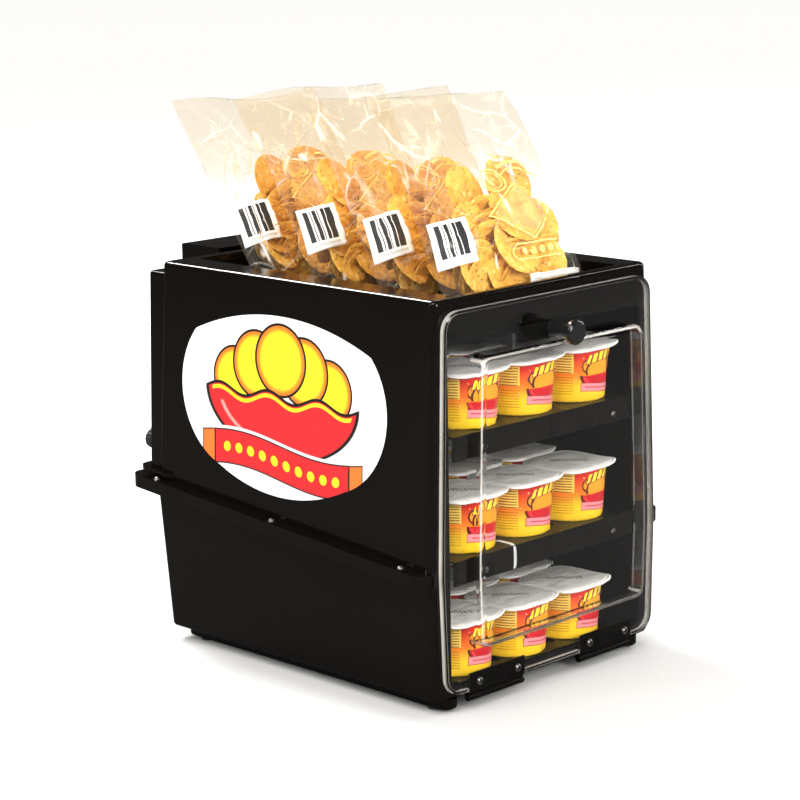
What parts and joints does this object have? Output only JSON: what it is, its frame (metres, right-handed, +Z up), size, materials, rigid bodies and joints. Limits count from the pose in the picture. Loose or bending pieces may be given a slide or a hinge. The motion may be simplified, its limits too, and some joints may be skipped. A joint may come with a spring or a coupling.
{
  "type": "nacho cheese cup warmer",
  "caption": "Countertop cabinet that warms portion cups of cheese on shelves behind a clear drop-down door, with an open well for chip bags on top.",
  "frame": {"origin": "centre of the overall box at the surface that it stands on", "axes": "+Z up, -Y towards the person at the door, +X to the right seen from the front"},
  "size_m": [0.365, 0.529, 0.5898],
  "materials": {
    "black_shell": "glossy black thermoformed sheet",
    "clear_sheet": "clear drawn plastic door",
    "black_knob": "polished black moulded knob",
    "black_metal": "satin black painted sheet steel",
    "bright_metal": "bright galvanised steel",
    "dark_screw": "blackened steel screw",
    "rubber_foot": "matt black rubber",
    "magnet": "dull ferrite",
    "catch_plastic": "matt black moulded plastic",
    "heater_sheath": "heat-stained steel sheath",
    "fan_plastic": "black glass-filled plastic",
    "dial_plastic": "black moulded dial",
    "tie_nylon": "natural nylon",
    "cup_print": "printed cup, red over orange over yellow, with a white lid",
    "badge_print": "printed label, white border on red and yellow",
    "bag_film": "clear film bag full of yellow round chips"
  },
  "bodies": {
    "cabinet": {"lower_shell": "black_shell", "upper_shell": "black_shell", "cabinet_screws": "dark_screw", "runner_left": "black_shell", "runner_right": "black_shell", "foot_left_front": "rubber_foot", "foot_right_front": "rubber_foot", "foot_left_rear": "rubber_foot", "foot_right_rear": "rubber_foot", "rack_side_left": "black_metal", "rack_side_right": "black_metal", "rail_middle_left": "black_metal", "rail_middle_right": "black_metal", "rail_top_left": "black_metal", "rail_top_right": "black_metal", "shelf_rivets": "bright_metal", "shelf_bottom": "black_metal", "shelf_middle": "black_metal", "shelf_top": "black_metal", "lip_middle_left": "black_metal", "lip_middle_right": "black_metal", "lip_top_left": "black_metal", "lip_top_right": "black_metal", "cable_tie": "tie_nylon", "cups_bottom": "cup_print", "cups_middle": "cup_print", "cups_top": "cup_print", "back_panel": "bright_metal", "fan_frame": "fan_plastic", "fan_screws": "bright_metal", "heater_element": "heater_sheath", "heater_clips": "bright_metal", "rear_cover": "black_shell", "rear_housing": "black_shell", "rear_screws": "dark_screw", "thermostat": "catch_plastic", "switch_body": "catch_plastic", "cord_gland": "catch_plastic", "catch_body": "catch_plastic", "catch_magnets": "magnet", "body_leaf_left": "black_metal", "body_leaf_right": "black_metal", "hinge_pins": "bright_metal", "body_hinge_screws": "dark_screw", "badge_left": "badge_print", "badge_right": "badge_print"},
    "door": {"door_panel": "clear_sheet", "door_knob": "black_knob", "knob_screw": "dark_screw", "strike_plate": "bright_metal", "door_leaf_left": "black_metal", "door_leaf_right": "black_metal", "door_hinge_screws": "dark_screw"},
    "fan": {"fan_rotor": "fan_plastic"},
    "dial": {"thermostat_knob": "dial_plastic"},
    "rocker": {"switch_rocker": "dial_plastic"},
    "bag_1": {"chip_bag_1": "bag_film"},
    "bag_2": {"chip_bag_2": "bag_film"},
    "bag_3": {"chip_bag_3": "bag_film"},
    "bag_4": {"chip_bag_4": "bag_film"}
  },
  "joints": [
    {"name": "door_hinge", "type": "hinge", "parent": "cabinet", "child": "door", "pos_m": [0, -0.2251, 0.012], "axis": [1, 0, 0], "range_deg": [0, 75]},
    {"name": "fan_spin", "type": "hinge", "parent": "cabinet", "child": "fan", "pos_m": [0, 0.1297, 0.13], "axis": [0, 1, 0], "continuous": true},
    {"name": "dial_turn", "type": "hinge", "parent": "cabinet", "child": "dial", "pos_m": [-0.142, 0.2065, 0.212], "axis": [0, -1, 0], "range_deg": [0, 270]},
    {"name": "power_rocker", "type": "hinge", "parent": "cabinet", "child": "rocker", "pos_m": [0.096, 0.1965, 0.23], "axis": [1, 0, 0], "range_deg": [-16, 0]},
    {"name": "bag_1_lift", "type": "slide", "parent": "cabinet", "child": "bag_1", "axis": [0, 0.4695, 0.8829], "range_m": [0, 0.24]},
    {"name": "bag_2_lift", "type": "slide", "parent": "cabinet", "child": "bag_2", "axis": [0, 0.5, 0.866], "range_m": [0, 0.24]},
    {"name": "bag_3_lift", "type": "slide", "parent": "cabinet", "child": "bag_3", "axis": [0, 0.515, 0.8572], "range_m": [0, 0.24]},
    {"name": "bag_4_lift", "type": "slide", "parent": "cabinet", "child": "bag_4", "axis": [0, 0.5878, 0.809], "range_m": [0, 0.24]}
  ]
}
